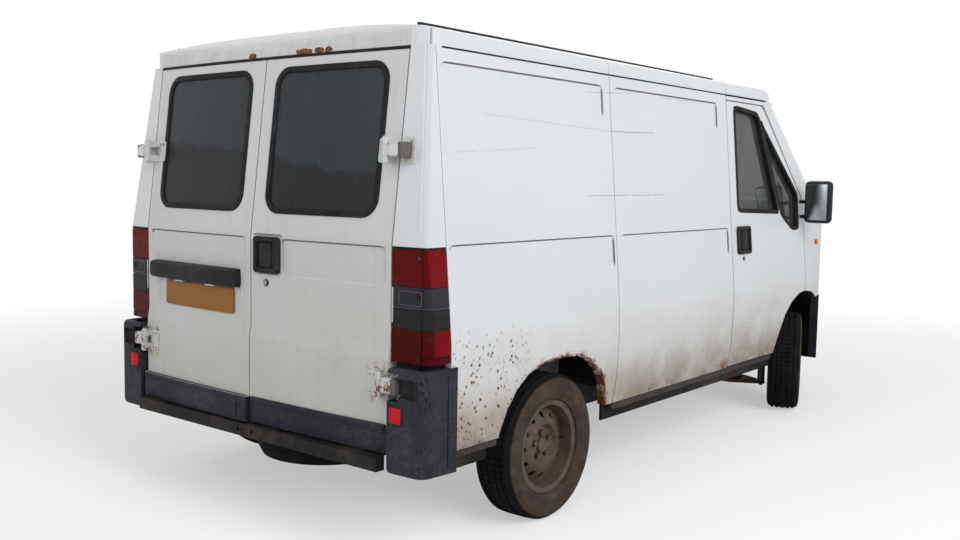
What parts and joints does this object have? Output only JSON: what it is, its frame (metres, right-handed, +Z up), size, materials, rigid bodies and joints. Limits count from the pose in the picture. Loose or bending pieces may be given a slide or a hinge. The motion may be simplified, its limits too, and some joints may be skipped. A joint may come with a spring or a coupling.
{
  "type": "panel van",
  "caption": "Short low-roof panel van with hinged cab and rear doors, bonnet and filler flap, steered front wheels and an open load space.",
  "frame": {"origin": "middle of the van's plan, on the ground", "axes": "+X to the front, +Y to the left side, +Z up"},
  "size_m": [4.655, 2.35, 2.125],
  "materials": {
    "body_paint": "worn white paint, dirty low down, rust at the edges",
    "black_plastic": "matt black",
    "grey_plastic": "weathered dark grey",
    "clear_glass": "clear",
    "tinted_glass": "lightly tinted",
    "dark_glass": "opaque dark glass",
    "lamp_glass": "clear lens",
    "red_lens": "red and smoked lens",
    "board": "grey board",
    "seat_cloth": "dark cloth",
    "floor_steel": "scuffed grey",
    "chassis_steel": "black with surface rust",
    "engine_metal": "dull",
    "tyre_rubber": "dusty black",
    "rim_steel": "dirty painted steel"
  },
  "bodies": {
    "body": {"load_floor": "floor_steel", "cab_frame": "body_paint", "side_right": "body_paint", "side_left": "body_paint", "sliding_door": "body_paint", "rear_frame": "body_paint", "roof": "body_paint", "roof_bars": "black_plastic", "front_frame": "body_paint", "front_wings": "body_paint", "scuttle": "black_plastic", "windscreen": "clear_glass", "grille": "black_plastic", "headlamps": "lamp_glass", "front_bumper": "grey_plastic", "rear_bumper": "grey_plastic", "tail_lamps": "red_lens", "bulkhead": "board", "dashboard": "black_plastic", "driver_seat": "seat_cloth", "passenger_seat": "seat_cloth", "chassis_rails": "chassis_steel", "engine": "engine_metal", "fuel_tank": "black_plastic", "exhaust": "chassis_steel", "spare_wheel": "tyre_rubber", "rear_axle": "chassis_steel", "front_suspension": "chassis_steel"},
    "bonnet": {"bonnet": "body_paint"},
    "front_door_right": {"front_door_right": "body_paint", "door_glass_right": "tinted_glass", "mirror_right": "grey_plastic"},
    "front_door_left": {"front_door_left": "body_paint", "door_glass_left": "tinted_glass", "mirror_left": "grey_plastic"},
    "rear_door_right": {"rear_door_right": "body_paint", "rear_glass_right": "dark_glass"},
    "rear_door_left": {"rear_door_left": "body_paint", "rear_glass_left": "dark_glass"},
    "fuel_flap": {"fuel_flap": "body_paint"},
    "steering_wheel": {"steering_wheel": "black_plastic"},
    "knuckle_right": {"knuckle_right": "chassis_steel"},
    "knuckle_left": {"knuckle_left": "chassis_steel"},
    "wheel_front_right": {"tyre_front_right": "tyre_rubber", "rim_front_right": "rim_steel"},
    "wheel_front_left": {"tyre_front_left": "tyre_rubber", "rim_front_left": "rim_steel"},
    "wheel_rear_right": {"tyre_rear_right": "tyre_rubber", "rim_rear_right": "rim_steel"},
    "wheel_rear_left": {"tyre_rear_left": "tyre_rubber", "rim_rear_left": "rim_steel"}
  },
  "joints": [
    {"name": "bonnet_hinge", "type": "hinge", "parent": "body", "child": "bonnet", "pos_m": [1.806, 0, 1.338], "axis": [0, -1, 0], "range_deg": [0, 55]},
    {"name": "front_door_right_hinge", "type": "hinge", "parent": "body", "child": "front_door_right", "pos_m": [1.4065, -0.98161, 0.93], "axis": [0, 0.0881, 0.9961], "range_deg": [0, 65]},
    {"name": "front_door_left_hinge", "type": "hinge", "parent": "body", "child": "front_door_left", "pos_m": [1.4065, 0.98161, 0.93], "axis": [0, -0.0881, 0.9961], "range_deg": [-65, 0]},
    {"name": "rear_door_right_hinge", "type": "hinge", "parent": "body", "child": "rear_door_right", "pos_m": [-2.30521, -0.778, 0.708], "axis": [0.0332, 0, 0.9995], "range_deg": [0, 180]},
    {"name": "rear_door_left_hinge", "type": "hinge", "parent": "body", "child": "rear_door_left", "pos_m": [-2.30521, 0.778, 0.708], "axis": [0.0332, 0, 0.9995], "range_deg": [-180, 0]},
    {"name": "fuel_flap_hinge", "type": "hinge", "parent": "body", "child": "fuel_flap", "pos_m": [-0.9435, 0.985, 0.995], "axis": [0, 0.088, -0.9961], "range_deg": [0, 90]},
    {"name": "steer_right", "type": "hinge", "parent": "body", "child": "knuckle_right", "pos_m": [1.4425, -0.715, 0.325], "axis": [0, 0, 1], "range_deg": [-55, 11]},
    {"name": "steer_left", "type": "hinge", "parent": "body", "child": "knuckle_left", "pos_m": [1.4425, 0.715, 0.325], "axis": [0, 0, 1], "range_deg": [-55, 11]},
    {"name": "steering_wheel_turn", "type": "hinge", "parent": "body", "child": "steering_wheel", "pos_m": [1.0325, -0.48, 1.13], "axis": [-0.5, 0, 0.866], "range_deg": [-880, 176]},
    {"name": "spin_front_right", "type": "hinge", "parent": "knuckle_right", "child": "wheel_front_right", "pos_m": [1.49682, -0.84944, 0.325], "axis": [-0.3746, 0.9272, 0], "continuous": true},
    {"name": "spin_front_left", "type": "hinge", "parent": "knuckle_left", "child": "wheel_front_left", "pos_m": [1.38818, 0.84944, 0.325], "axis": [-0.3746, 0.9272, 0], "continuous": true},
    {"name": "spin_rear_right", "type": "hinge", "parent": "body", "child": "wheel_rear_right", "pos_m": [-1.4075, -0.88, 0.325], "axis": [0, 1, 0], "continuous": true},
    {"name": "spin_rear_left", "type": "hinge", "parent": "body", "child": "wheel_rear_left", "pos_m": [-1.4075, 0.88, 0.325], "axis": [0, 1, 0], "continuous": true}
  ],
  "couplings": [
    {"joint": "steer_left", "follows": "steer_right", "ratio": 1},
    {"joint": "steering_wheel_turn", "follows": "steer_right", "ratio": 16}
  ]
}
